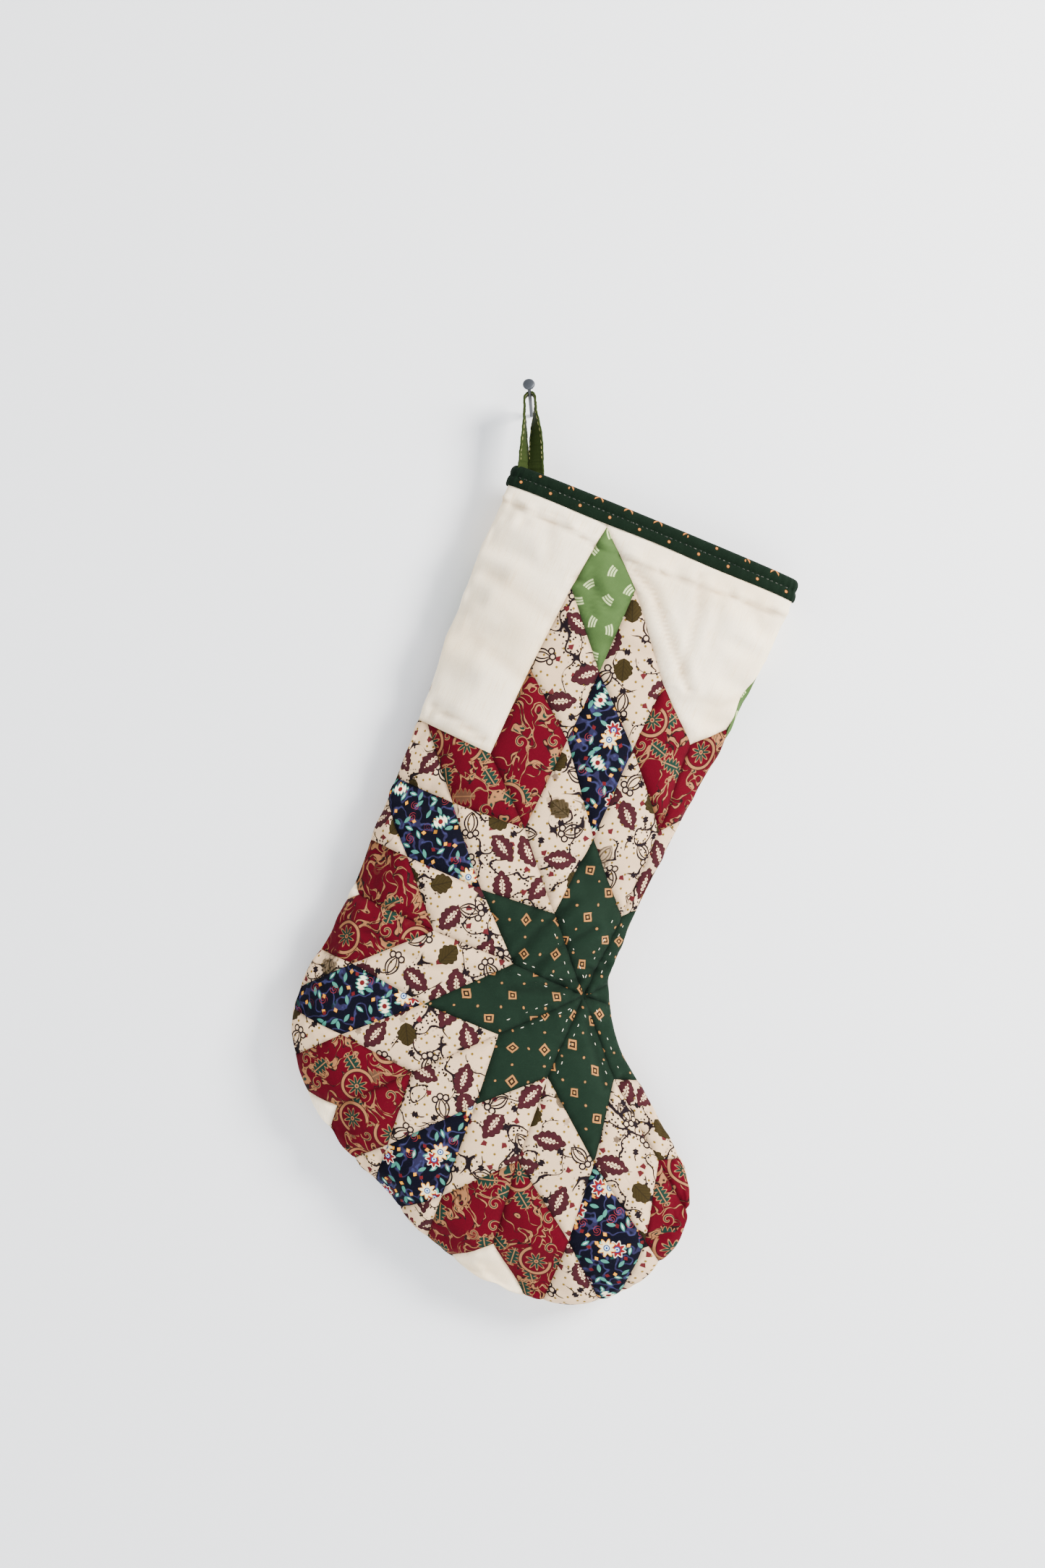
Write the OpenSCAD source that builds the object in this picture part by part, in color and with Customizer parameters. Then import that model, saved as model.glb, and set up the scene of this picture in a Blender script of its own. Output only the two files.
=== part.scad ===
// Quilted patchwork stocking, hung by a cloth loop sewn into the left end of its mouth.
// +Z is up, the front faces -Y, and the origin is where the loop rests on its nail.
// The stocking is drawn upright in its own pattern frame, u across and v up with the left
// end of the mouth at [0, 0], and is then leaned and hung under the loop.

/* [Hang] */
// How far the stocking leans to its toe side as it hangs, in degrees
lean = 22.4; // [15:0.2:30]
// Left end of the mouth, from the nail: across
corner_x = -7.5; // [-9:0.5:-6]
// Left end of the mouth, from the nail: up
corner_z = -38.5; // [-42:0.5:-38]

/* [Body] */
// Thickness from front to back through the leg and the foot
body_depth = 25; // [22:0.5:30]
// Thickness from front to back at the mouth
mouth_depth = 20; // [19:0.5:22]
// Roundness of the side edges, where a smaller value is blunter
edge_round = 0.85; // [0.7:0.05:1]

/* [Cloth] */
// Thickness of the pieced outer skin
skin_t = 0.8; // [0.6:0.1:1]
// Thickness of the wadding behind each skin
batting_t = 3; // [2:0.5:3.5]
// Thickness of the lining
lining_t = 0.6; // [0.4:0.1:0.8]
// Clearance between one layer and the next
layer_gap = 0.1; // [0.05:0.05:0.2]
// Width of the groove at each patchwork seam
seam_gap = 0.2; // [0.1:0.1:0.6]

/* [Binding] */
// Height of the binding on each side of the mouth
binding_h = 11; // [9:0.5:13]
// Thickness of the binding cloth
binding_t = 0.8; // [0.6:0.1:1]
// Length of one stitch of the topstitching
stitch = 3; // [2:0.5:4]

/* [Loop] */
// Width of the folded strip that makes the loop
strip_w = 10; // [8:0.5:11]
// Thickness of the folded strip
strip_t = 1.2; // [1:0.1:1.4]
// Inside radius of the bend over the nail
bend_r = 2.3; // [2.2:0.1:2.6]
// Height of the side-to-side hinge, near the foot of the loop
lean_z = -34; // [-35:0.5:-33]
// Height of the back-and-forth hinge, where the loop enters the binding
fold_z = -38.6; // [-39:0.1:-38.5]

/* [Back] */
// Length of one diamond's side in the star on the back
back_side = 47; // [44:1:50]
// Angle of the first seam of the star on the back
back_turn = 43; // [30:1:60]

/* [Hidden] */
// Larger than the whole stocking
SPAN = 700;
// Rings down the body, and corners of each ring from one side seam to the other
RINGS = 24;
SIDES = 7;
// Part of a station by which the toe end draws back for each millimetre of inset
TOE_RATE = 0.06;
// How far a hollow is carried up past the mouth to open it
MOUTH_CUT = 5;
// Depth of each layer's outer face below the outer skin, and of the hollow
BATTING_IN = skin_t + layer_gap;
LINING_IN = BATTING_IN + batting_t + layer_gap;
HOLLOW_IN = LINING_IN + lining_t;
// Stations at which the wadding is cut across, to lie in lengths
WADDING_CUTS = [3.6, 5.6, 7.8, 10, 13, 16];
// Width and height of a stitch
THREAD_W = 0.5;
THREAD_H = 0.35;
// Quilting stitches beside each seam: the first one's distance from the star's centre,
// the next one's from it, their number, and their distance from the seam
QUILT_START = 12;
QUILT_PITCH = 6;
QUILT_COUNT = 4;
QUILT_ASIDE = 3.5;
// The loop's tails inside the binding: left edge, width and depth, and the room round them
TAILS_X = -5.6;
TAILS_W = 12.6;
TAILS_DEEP = 8;
TAILS_ROOM = 0.4;

// Stations down the stocking: a point on the heel side, a point on the toe side, and how
// full the body is there, from 0 at the mouth's depth to 1 at the body's
STATIONS = [
    [[0, 0], [164, 0], 0],
    [[0, -15], [166, -15], 0.15],
    [[0, -40], [165, -40], 0.6],
    [[0, -68], [163, -66], 0.9],
    [[1, -100], [161, -97], 1],
    [[3, -141], [157, -132], 1],
    [[4, -181], [154, -168], 1],
    [[4, -212], [152, -200], 1],
    [[5, -240], [152, -224], 1],
    [[3, -272], [152, -236], 1],
    [[0, -303], [155, -243], 1],
    [[6, -330], [158, -249], 1],
    [[27, -357], [162, -256], 1],
    [[54, -375], [167, -263], 1],
    [[84, -389], [174, -271], 1],
    [[114, -403], [184, -279], 1],
    [[145, -411], [196, -288], 1],
    [[175, -412], [208, -298], 0.95],
    [[203, -404], [219, -307], 0.8],
    [[222, -389], [229, -317], 0.45],
    [[233, -369], [236, -330], -0.2],
    [[238, -354], [239, -341], -0.85]
];
LAST = len(STATIONS) - 1;

// Corners of the star on the front: its centre, then three points along each of the eight
// seams between rays, then the corners inside each ray, row by row
STAR = [143, -250];
SEAMS = [
    [[146, -203], [147, -153], [144, -104]],
    [[111, -215], [79, -179], [47, -149]],
    [[101, -248], [55, -248], [10, -246]],
    [[108, -286], [73, -322], [43, -355]],
    [[141, -297], [143, -344], [148, -390]],
    [[175, -285], [213, -316], [251, -347]],
    [[190, -249], [235, -249], [280, -249]],
    [[176, -217], [209, -184], [242, -151]]
];
INNER = [
    [[[115, -170], [82, -127], [49, -99]], [[116, -118], [84, -87], [53, -51]],
     [[118, -80], [85, -39], [58, -13]]],
    [[[70, -218], [27, -217], [-18, -216]], [[38, -181], [-8, -180], [-54, -180]],
     [[9, -147], [-36, -146], [-81, -146]]],
    [[[65, -286], [31, -318], [-2, -354]], [[22, -281], [-11, -316], [-47, -352]],
     [[-25, -282], [-60, -318], [-94, -354]]],
    [[[111, -325], [113, -377], [115, -422]], [[76, -363], [77, -410], [79, -456]],
     [[44, -398], [46, -444], [48, -490]]],
    [[[181, -330], [222, -358], [261, -387]], [[184, -373], [221, -406], [262, -436]],
     [[185, -420], [224, -452], [266, -482]]],
    [[[218, -272], [262, -272], [306, -272]], [[254, -299], [298, -299], [342, -299]],
     [[290, -330], [334, -330], [378, -330]]],
    [[[222, -216], [255, -184], [288, -151]], [[267, -216], [300, -184], [333, -151]],
     [[312, -216], [345, -184], [378, -151]]],
    [[[178, -172], [178, -120], [176, -72]], [[211, -139], [211, -87], [209, -39]],
     [[244, -106], [244, -54], [242, -6]]]
];
RAYS = ["top", "upper_left", "left", "lower_left", "bottom", "lower_right", "right", "upper_right"];

// Cells of a ray, counted along its first and its second seam, and the cloth of each
CELLS = [
    [0, 0, "green"],
    [1, 0, "cream_1"],
    [0, 1, "cream_2"],
    [2, 0, "red_1"],
    [1, 1, "navy"],
    [0, 2, "red_2"],
    [2, 1, "cream_3"],
    [1, 2, "cream_4"],
    [2, 2, "tip"]
];
// Which cells of each ray are whole enough to be a sub-part of their own
OWN_CELLS = [
    [0, 1, 2, 3, 4, 5, 6, 7, 8],
    [0, 1, 2, 3, 4, 5],
    [0, 1, 2, 3, 4, 5],
    [0, 1, 2, 3, 4, 5],
    [0, 1, 2, 3, 4, 5],
    [0, 1, 3],
    [0],
    [0, 2, 5]
];
// Cells of the star on the back that have the same cloth
BACK_GREEN = [0];
BACK_CREAM = [1, 2, 6, 7];
BACK_RED = [3, 5];
BACK_NAVY = [4];
BACK_TIP = [8];
BACK_STAR = [72, -268];

MUSLIN = "#ede6dc";
CREAM = "#e6d6c1";
RED = "#a0142e";
NAVY = "#141433";
GREEN = "#214b37";
LIGHT_GREEN = "#7fa873";
BINDING = "#1e4430";
OLIVE = "#5a6b35";
WADDING = "#f4f1ea";
LINING = "#e9e0d0";
DARK_THREAD = "#16281d";
PALE_THREAD = "#efe9dc";

// The loop's strip: across, up, and the turn of its width from the wall's plane, where
// 90 is edge on to the front
LEFT_LIMB = [[-3.3, -33.6, 62], [-3.2, -26, 72], [-3.1, -18, 84], [-2.9, -11, 90]];
RIGHT_LIMB = [[2.9, -11, 90], [3.1, -18, 114], [3.6, -26, 128], [3.9, -33.6, 138]];

function patch_name(ray, cell) = str(RAYS[ray], "_", CELLS[cell][2]);
function patch_colour(cell) = cell == 0 ? GREEN
    : cell == 4 ? NAVY
    : cell == 8 ? LIGHT_GREEN
    : (cell == 3 || cell == 5) ? RED
    : CREAM;

// A smooth curve through a list of values, read at a fractional place
function pick(list, i) = list[max(0, min(len(list) - 1, i))];
function smooth(a, b, c, d, t) =
    0.5 * (2 * b + (c - a) * t + (2 * a - 5 * b + 4 * c - d) * t * t + (3 * b - a - 3 * c + d) * t * t * t);
function along(column, s) = let (i = floor(s), t = s - i)
    smooth(pick(STATIONS, i - 1)[column], pick(STATIONS, i)[column], pick(STATIONS, i + 1)[column],
        pick(STATIONS, i + 2)[column], t);
function fullness(s) = (mouth_depth + (body_depth - mouth_depth) * along(2, s)) / 2;

// One ring of the body, moved in by inset from the outer skin
function ring(s, inset, lift) =
    let (heel = along(0, s), toe = along(1, s), way = (toe - heel) / norm(toe - heel))
    let (half = norm(toe - heel) / 2 - inset, mid = (heel + toe) / 2, deep = fullness(s) - inset)
    [for (k = [0:2 * SIDES - 1])
        let (turn = 180 * k / SIDES, p = mid - way * half * cos(turn), bulge = abs(sin(turn)))
        [p[0], (turn < 180 ? -1 : 1) * deep * pow(bulge, edge_round), p[1] + lift]];

// The whole body as one closed solid, moved in by inset, with its mouth raised by lift
module body(inset, lift = 0) {
    n = 2 * SIDES;
    ends = LAST - inset * TOE_RATE;
    rings = [for (i = [0:RINGS]) ring(ends * i / RINGS, inset, i == 0 ? lift : 0)];
    points = [for (r = rings) each r];
    walls = [for (i = [0:RINGS - 1]) for (k = [0:n - 1])
        let (a = i * n + k, b = i * n + (k + 1) % n)
        each [[a, b + n, a + n], [a, b, b + n]]];
    mouth = [for (k = [n - 1:-1:0]) k];
    toe = [for (k = [0:n - 1]) RINGS * n + k];
    polyhedron(points, concat([mouth, toe], walls), convexity = 6);
}

// A layer of cloth all round, open at the mouth
module layer(outer, inner, lift = 0) {
    difference() {
        body(outer, lift);
        body(inner, lift + MOUTH_CUT);
    }
}

module front_half() {
    translate([-SPAN / 2, -SPAN, -SPAN])
        cube([SPAN, SPAN - layer_gap / 2, 2 * SPAN]);
}

module back_half() {
    translate([-SPAN / 2, layer_gap / 2, -SPAN])
        cube([SPAN, SPAN, 2 * SPAN]);
}

// A shape of the pattern frame, drawn through the whole thickness
module through() {
    rotate([90, 0, 0])
        linear_extrude(100, center = true)
            children();
}

// From the pattern frame to where the stocking hangs
module hung() {
    translate([corner_x, 0, corner_z])
        rotate([0, lean, 0])
            children();
}

// A piece of cloth in one colour. The resize keeps its size, and makes its cuts as one mesh.
module cloth(colour) {
    color(colour)
        resize([0, 0, 0])
            children();
}

// Room for the loop's tails between the front and the back
module tail_pocket() {
    thick = strip_t + 2 * TAILS_ROOM;
    translate([TAILS_X - TAILS_ROOM, -thick / 2, fold_z - TAILS_DEEP - TAILS_ROOM])
        cube([TAILS_W + 2 * TAILS_ROOM, thick, TAILS_DEEP + TAILS_ROOM + strip_t + 1]);
}

module front_skin() {
    intersection() {
        layer(0, skin_t, -1);
        front_half();
    }
}

module back_skin() {
    intersection() {
        layer(0, skin_t, -1);
        back_half();
    }
}

function corner(ray, i, j) = i == 0 && j == 0 ? STAR
    : i == 0 ? SEAMS[(ray + 1) % 8][j - 1]
    : j == 0 ? SEAMS[ray][i - 1]
    : INNER[ray][i - 1][j - 1];
function diamond(ray, cell) = let (i = CELLS[cell][0], j = CELLS[cell][1])
    [corner(ray, i, j), corner(ray, i + 1, j), corner(ray, i + 1, j + 1), corner(ray, i, j + 1)];

function back_seam(k) = back_side * [cos(back_turn + 45 * k), sin(back_turn + 45 * k)];
function back_corner(ray, i, j) = BACK_STAR + i * back_seam(ray) + j * back_seam(ray + 1);
function back_diamond(ray, cell) = let (i = CELLS[cell][0], j = CELLS[cell][1])
    [back_corner(ray, i, j), back_corner(ray, i + 1, j), back_corner(ray, i + 1, j + 1),
        back_corner(ray, i, j + 1)];

// A patch of the front skin, cut along the given corners
module front_patch(corners) {
    intersection() {
        front_skin();
        through()
            offset(delta = -seam_gap / 2)
                polygon(corners);
    }
}

module star_patch(ray, cell) {
    cloth(patch_colour(cell))
        hung()
            front_patch(diamond(ray, cell));
}

// Narrow cream diamonds that the side seam cuts short
module edge_creams() {
    cloth(CREAM)
        hung()
            for (ray = [1:4])
                for (cell = [6, 7])
                    front_patch(diamond(ray, cell));
}

module muslin_top_left() {
    cloth(MUSLIN)
        difference() {
            hung()
                front_patch([corner(0, 0, 3), corner(0, 1, 3), corner(0, 2, 3), corner(0, 3, 3),
                    [58, 20], [-40, 20], corner(1, 3, 2), corner(1, 3, 1)]);
            tail_pocket();
        }
}

module muslin_top_right() {
    cloth(MUSLIN)
        hung()
            front_patch([corner(0, 3, 0), corner(0, 3, 1), corner(0, 3, 2), corner(0, 3, 3),
                [58, 20], [200, 20], [200, -60], corner(7, 1, 3)]);
}

// Background corners between the rays that the side seam cuts short
module muslin_corners() {
    cloth(MUSLIN)
        hung() {
            front_patch([corner(1, 0, 3), corner(1, 1, 3), [-40, -250], corner(2, 3, 1)]);
            front_patch([corner(2, 0, 3), corner(2, 1, 3), [-20, -400], corner(3, 3, 1)]);
            front_patch([corner(3, 0, 3), corner(3, 1, 3), [150, -440], corner(4, 3, 1)]);
        }
}

// Every diamond on the back that is cut from one cloth
module back_cloth(cells) {
    hung()
        intersection() {
            back_skin();
            through()
                for (ray = [0:7])
                    for (cell = cells)
                        offset(delta = -seam_gap / 2)
                            polygon(back_diamond(ray, cell));
        }
}

module back_green() {
    cloth(GREEN)
        back_cloth(BACK_GREEN);
}

module back_cream() {
    cloth(CREAM)
        back_cloth(BACK_CREAM);
}

module back_red() {
    cloth(RED)
        back_cloth(BACK_RED);
}

module back_navy() {
    cloth(NAVY)
        back_cloth(BACK_NAVY);
}

module back_tips() {
    cloth(LIGHT_GREEN)
        back_cloth(BACK_TIP);
}

module back_muslin() {
    cloth(MUSLIN)
        difference() {
            hung()
                difference() {
                    back_skin();
                    through()
                        offset(delta = seam_gap / 2)
                            for (ray = [0:7])
                                polygon([BACK_STAR, back_corner(ray, 3, 0), back_corner(ray, 3, 3),
                                    back_corner(ray, 0, 3)]);
                }
            tail_pocket();
        }
}

// A layer behind the skin, halved into front and back and cleared for the loop's tails
module inner_layer(outer, inner) {
    difference() {
        hung()
            intersection() {
                layer(outer, inner, -1);
                children();
            }
        tail_pocket();
    }
}

// Narrow cuts across the body, each along the line of one ring
module cuts_across(stations) {
    through()
        for (s = stations)
            let (heel = along(0, s), toe = along(1, s), way = (toe - heel) / norm(toe - heel))
            let (aside = [-way[1], way[0]] * layer_gap / 2, past = way * MOUTH_CUT)
            polygon([heel - past - aside, toe + past - aside, toe + past + aside, heel - past + aside]);
}

module front_batting() {
    cloth(WADDING)
        inner_layer(BATTING_IN, BATTING_IN + batting_t)
            difference() {
                front_half();
                cuts_across(WADDING_CUTS);
            }
}

module back_batting() {
    cloth(WADDING)
        inner_layer(BATTING_IN, BATTING_IN + batting_t)
            difference() {
                back_half();
                cuts_across(WADDING_CUTS);
            }
}

module front_lining() {
    cloth(LINING)
        inner_layer(LINING_IN, HOLLOW_IN)
            front_half();
}

module back_lining() {
    cloth(LINING)
        inner_layer(LINING_IN, HOLLOW_IN)
            back_half();
}

// Everything below a height of the pattern frame
module below(height) {
    translate([-SPAN / 2, -SPAN / 2, height - SPAN])
        cube([SPAN, SPAN, SPAN]);
}

// A strip folded over the whole mouth edge, outside and inside
module binding() {
    fold_in = HOLLOW_IN + layer_gap;
    cloth(BINDING)
        difference() {
            hung()
                difference() {
                    body(-binding_t - layer_gap);
                    below(-binding_h);
                    difference() {
                        body(-layer_gap, -1 + layer_gap);
                        body(fold_in, 1);
                    }
                    body(fold_in + binding_t, MOUTH_CUT);
                }
            tail_pocket();
        }
}

// Stitches lying on the outside of the cloth, cut from a thin layer by short dashes
module surface_thread(outer, inner) {
    hung()
        intersection() {
            layer(outer, inner, 0);
            children();
        }
}

module binding_thread() {
    pitch = stitch * 4 / 3;
    outside = -binding_t - 2 * layer_gap;
    mouth = norm(STATIONS[0][1] - STATIONS[0][0]);
    cloth(DARK_THREAD)
        surface_thread(outside - THREAD_H, outside)
            through()
                for (i = [0:floor(mouth / pitch) - 1])
                    translate([i * pitch + 1, -binding_h / 2])
                        square([stitch, THREAD_W]);
}

// Running stitches beside the seams round the middle of the star
module quilting_thread() {
    cloth(PALE_THREAD)
        surface_thread(-layer_gap - THREAD_H, -layer_gap)
            intersection() {
                front_half();
                through()
                    for (k = [0:5])
                        for (side = [-1, 1])
                            translate(STAR)
                                rotate(88 + 45 * k)
                                    for (i = [0:QUILT_COUNT - 1])
                                        translate([QUILT_START + QUILT_PITCH * i, side * QUILT_ASIDE])
                                            square([stitch, THREAD_W]);
            }
}

// Four corners of the strip where it passes one point
function strip_ring(p, way) =
    let (wide = [cos(p[2]), sin(p[2]), 0] * strip_w / 2, up = [way[0], 0, way[1]])
    let (face = cross(wide, up), out = face / norm(face) * strip_t / 2, at = [p[0], 0, p[1]])
    [at + wide + out, at + wide - out, at - wide - out, at - wide + out];

module loop() {
    radius = bend_r + strip_t / 2;
    bend = [for (a = [180:-30:0]) [radius * cos(a), radius * sin(a) - bend_r, 90]];
    route = concat(LEFT_LIMB, bend, RIGHT_LIMB);
    rings = [for (i = [0:len(route) - 1])
        let (a = route[max(0, i - 1)], b = route[min(len(route) - 1, i + 1)])
        strip_ring(route[i], [b[0] - a[0], b[1] - a[1]])];
    walls = [for (i = [0:len(route) - 2]) for (k = [0:3])
        let (a = 4 * i + k, b = 4 * i + (k + 1) % 4)
        each [[a, b + 4, b], [a, a + 4, b + 4]]];
    last = 4 * len(route) - 4;
    color(OLIVE)
        polyhedron([for (r = rings) each r],
            concat([[0, 1, 2, 3], [last + 3, last + 2, last + 1, last]], walls), convexity = 4);
}

// The short stretch of strip between the two ways in which it gives
module loop_neck() {
    left = TAILS_X - 0.2;
    right = left + TAILS_W;
    ridge = lean_z - 0.1;
    foot = fold_z + strip_t / 2 + 0.3;
    shoulder = foot + 0.8;
    color(OLIVE)
        rotate([90, 0, 0])
            linear_extrude(strip_t, center = true)
                polygon([[left, foot], [right, foot], [right, shoulder], [(left + right) / 2, ridge],
                    [left, shoulder]]);
}

// The strip's ends, between the front and the back inside the binding
module loop_tails() {
    color(OLIVE)
        translate([TAILS_X, 0, fold_z]) {
            rotate([0, 90, 0])
                cylinder(h = TAILS_W, d = strip_t, $fn = 32);
            translate([0, -strip_t / 2, -TAILS_DEEP])
                cube([TAILS_W, strip_t, TAILS_DEEP]);
        }
}

loop();
loop_neck();
loop_tails();
binding();
binding_thread();
quilting_thread();
front_batting();
back_batting();
front_lining();
back_lining();
for (ray = [0:7])
    for (cell = OWN_CELLS[ray])
        star_patch(ray, cell);
edge_creams();
muslin_top_left();
muslin_top_right();
muslin_corners();
back_green();
back_cream();
back_red();
back_navy();
back_tips();
back_muslin();
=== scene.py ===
import math

import bmesh
import bpy
import numpy as np
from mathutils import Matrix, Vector
from mathutils.geometry import tessellate_polygon


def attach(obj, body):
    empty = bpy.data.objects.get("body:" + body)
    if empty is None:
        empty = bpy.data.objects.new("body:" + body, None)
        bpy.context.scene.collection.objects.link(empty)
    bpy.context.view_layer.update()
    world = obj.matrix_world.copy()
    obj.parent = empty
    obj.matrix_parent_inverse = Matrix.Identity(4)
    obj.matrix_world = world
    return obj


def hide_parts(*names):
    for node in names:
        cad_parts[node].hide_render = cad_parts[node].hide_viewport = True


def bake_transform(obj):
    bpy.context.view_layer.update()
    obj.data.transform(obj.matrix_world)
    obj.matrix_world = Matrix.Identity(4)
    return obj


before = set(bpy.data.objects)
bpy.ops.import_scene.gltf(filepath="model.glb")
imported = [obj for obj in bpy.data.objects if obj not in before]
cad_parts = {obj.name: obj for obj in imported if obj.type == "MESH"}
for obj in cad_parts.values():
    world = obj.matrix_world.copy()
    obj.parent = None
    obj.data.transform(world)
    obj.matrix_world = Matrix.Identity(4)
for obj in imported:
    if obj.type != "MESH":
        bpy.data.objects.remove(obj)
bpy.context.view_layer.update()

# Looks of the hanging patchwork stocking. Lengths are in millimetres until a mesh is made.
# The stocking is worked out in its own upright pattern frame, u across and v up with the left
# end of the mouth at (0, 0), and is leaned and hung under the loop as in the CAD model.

MM = 0.001
LEAN = math.radians(22.4)
CORNER = (-7.5, -38.5)  # where the left end of the mouth hangs, x and z
BODY_DEPTH = 25
MOUTH_DEPTH = 20
EDGE_ROUND = 0.85  # below 1, the body is fuller than an ellipse
TOE_CAP = 0.5  # stations over which the toe closes
CLOTH_T = 0.6

# Stations down the stocking: heel side, toe side and how full the body is there
STATIONS = np.array([
    (0, 0, 164, 0, 0), (0, -15, 166, -15, 0.15), (0, -40, 165, -40, 0.6), (0, -68, 163, -66, 0.9),
    (1, -100, 161, -97, 1), (3, -141, 157, -132, 1), (4, -181, 154, -168, 1), (4, -212, 152, -200, 1),
    (5, -240, 152, -224, 1), (3, -272, 152, -236, 1), (0, -303, 155, -243, 1), (6, -330, 158, -249, 1),
    (27, -357, 162, -256, 1), (54, -375, 167, -263, 1), (84, -389, 174, -271, 1), (114, -403, 184, -279, 1),
    (145, -411, 196, -288, 1), (175, -412, 208, -298, 0.95), (203, -404, 219, -307, 0.8),
    (222, -389, 229, -317, 0.45), (233, -369, 236, -330, -0.2), (238, -354, 239, -341, -0.85),
], float)
LAST = len(STATIONS) - 1

# Corners of the star on the front, ray by ray, and of the regular star on the back
STAR = (143, -250)
SEAMS = [
    [(146, -203), (147, -153), (144, -104)], [(111, -215), (79, -179), (47, -149)],
    [(101, -248), (55, -248), (10, -246)], [(108, -286), (73, -322), (43, -355)],
    [(141, -297), (143, -344), (148, -390)], [(175, -285), (213, -316), (251, -347)],
    [(190, -249), (235, -249), (280, -249)], [(176, -217), (209, -184), (242, -151)],
]
INNER = [
    [[(115, -170), (82, -127), (49, -99)], [(116, -118), (84, -87), (53, -51)],
     [(118, -80), (85, -39), (58, -13)]],
    [[(70, -218), (27, -217), (-18, -216)], [(38, -181), (-8, -180), (-54, -180)],
     [(9, -147), (-36, -146), (-81, -146)]],
    [[(65, -286), (31, -318), (-2, -354)], [(22, -281), (-11, -316), (-47, -352)],
     [(-25, -282), (-60, -318), (-94, -354)]],
    [[(111, -325), (113, -377), (115, -422)], [(76, -363), (77, -410), (79, -456)],
     [(44, -398), (46, -444), (48, -490)]],
    [[(181, -330), (222, -358), (261, -387)], [(184, -373), (221, -406), (262, -436)],
     [(185, -420), (224, -452), (266, -482)]],
    [[(218, -272), (262, -272), (306, -272)], [(254, -299), (298, -299), (342, -299)],
     [(290, -330), (334, -330), (378, -330)]],
    [[(222, -216), (255, -184), (288, -151)], [(267, -216), (300, -184), (333, -151)],
     [(312, -216), (345, -184), (378, -151)]],
    [[(178, -172), (178, -120), (176, -72)], [(211, -139), (211, -87), (209, -39)],
     [(244, -106), (244, -54), (242, -6)]],
]
RAYS = ["top", "upper_left", "left", "lower_left", "bottom", "lower_right", "right", "upper_right"]
CELLS = [(0, 0, "green"), (1, 0, "cream_1"), (0, 1, "cream_2"), (2, 0, "red_1"), (1, 1, "navy"),
         (0, 2, "red_2"), (2, 1, "cream_3"), (1, 2, "cream_4"), (2, 2, "tip")]
OWN_CELLS = [range(9), range(6), range(6), range(6), range(6), (0, 1, 3), (0,), (0, 2, 5)]
BACK_STAR = (72, -268)
BACK_SIDE = 47
BACK_TURN = math.radians(43)

# Soft creases in the cloth: the points each one runs through, its width and its depth
CREASES = [
    ([(80, -29), (94, -36), (110, -54), (125, -70), (131, -77)], 2.3, 0.9),
    ([(114, -18), (121, -39), (123, -57), (124, -73)], 2.4, 0.55),
    ([(9, -137), (24, -139), (41, -143)], 2.3, 0.8),
    ([(53, -45), (64, -45), (75, -53)], 2.3, 0.7),
    ([(60, -36), (68, -58)], 2.3, 0.4),
    ([(118, -205), (106, -228), (100, -246)], 2.3, 0.8),
    ([(108, -196), (98, -222)], 2.3, 0.6),
    ([(133, -215), (120, -232), (112, -246)], 2.3, 0.7),
    ([(148, -232), (128, -252), (104, -262)], 2.3, 0.6),
    ([(150, -262), (172, -290)], 2.3, 0.5),
    ([(20, -262), (60, -266), (92, -256)], 2.3, 0.5),
    ([(12, -60), (60, -72), (104, -66)], 5.0, 0.4),
    ([(8, -92), (46, -104)], 5.0, 0.4),
    ([(136, -96), (160, -108)], 3.0, 0.4),
    ([(128, -82), (150, -78), (163, -66)], 3.0, 0.35),
    ([(130, -24), (134, -52)], 3.0, 0.3),
    ([(30, -18), (36, -40)], 3.0, 0.3),
]
# The ridge of the binding's seam allowance under the cloth below the mouth
RIDGE_V = -21
PUFF, PUFF_REACH = 1.9, 6.5  # how high the quilted cloth stands between its seams
SEAM_DIP, SEAM_WIDTH = 0.8, 0.8
PUCKER, STAR_PUCKER, STAR_REACH = 0.28, 0.36, 75  # puckers are deeper near the star's middle


# ---- the padded shape

def through(points, s):
    """A smooth line through points, at fractional places s along them."""
    last = len(points) - 1
    i = np.clip(np.floor(s).astype(int), 0, last - 1)
    t = (s - i)[..., None]
    a, b, c, d = (points[np.clip(i + k, 0, last)] for k in (-1, 0, 1, 2))
    return 0.5 * (2 * b + (c - a) * t + (2 * a - 5 * b + 4 * c - d) * t ** 2 + (3 * b - a - 3 * c + d) * t ** 3)


def hill(x, width):
    """1 at 0, and about a third at this width."""
    return np.exp(-(x / width) ** 2)


def base(s, turn, inset=0.0):
    """Points (u, y, v) of the body; turn goes from 0 at the heel side over the front to 180."""
    col = through(STATIONS, np.asarray(s, float))
    heel, toe = col[..., 0:2], col[..., 2:4]
    span = np.linalg.norm(toe - heel, axis=-1)
    way = (toe - heel) / span[..., None]
    into_cap = np.clip((s - LAST) / TOE_CAP + 1, 0, 1)
    close = np.sqrt(1 - 0.998 * into_cap ** 2)
    deep = close * (MOUTH_DEPTH + (BODY_DEPTH - MOUTH_DEPTH) * col[..., 4]) / 2 - inset
    angle = np.radians(turn)
    p = (heel + toe) / 2 - way * ((close * span / 2 - inset) * np.cos(angle))[..., None]
    y = -np.sign(np.sin(angle)) * deep * np.abs(np.sin(angle)) ** EDGE_ROUND
    return np.stack([p[..., 0], y, p[..., 1]], -1)


def surface_normal(s, turn):
    """Outward unit normals of the body."""
    ds, dt = 0.02, 0.5
    along = base(np.clip(s + ds, 0, LAST), turn) - base(np.clip(s - ds, 0, LAST), turn)
    across = base(s, turn + dt) - base(s, turn - dt)
    n = np.cross(along, across)
    return n / np.maximum(np.linalg.norm(n, axis=-1, keepdims=True), 1e-9)


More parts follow.
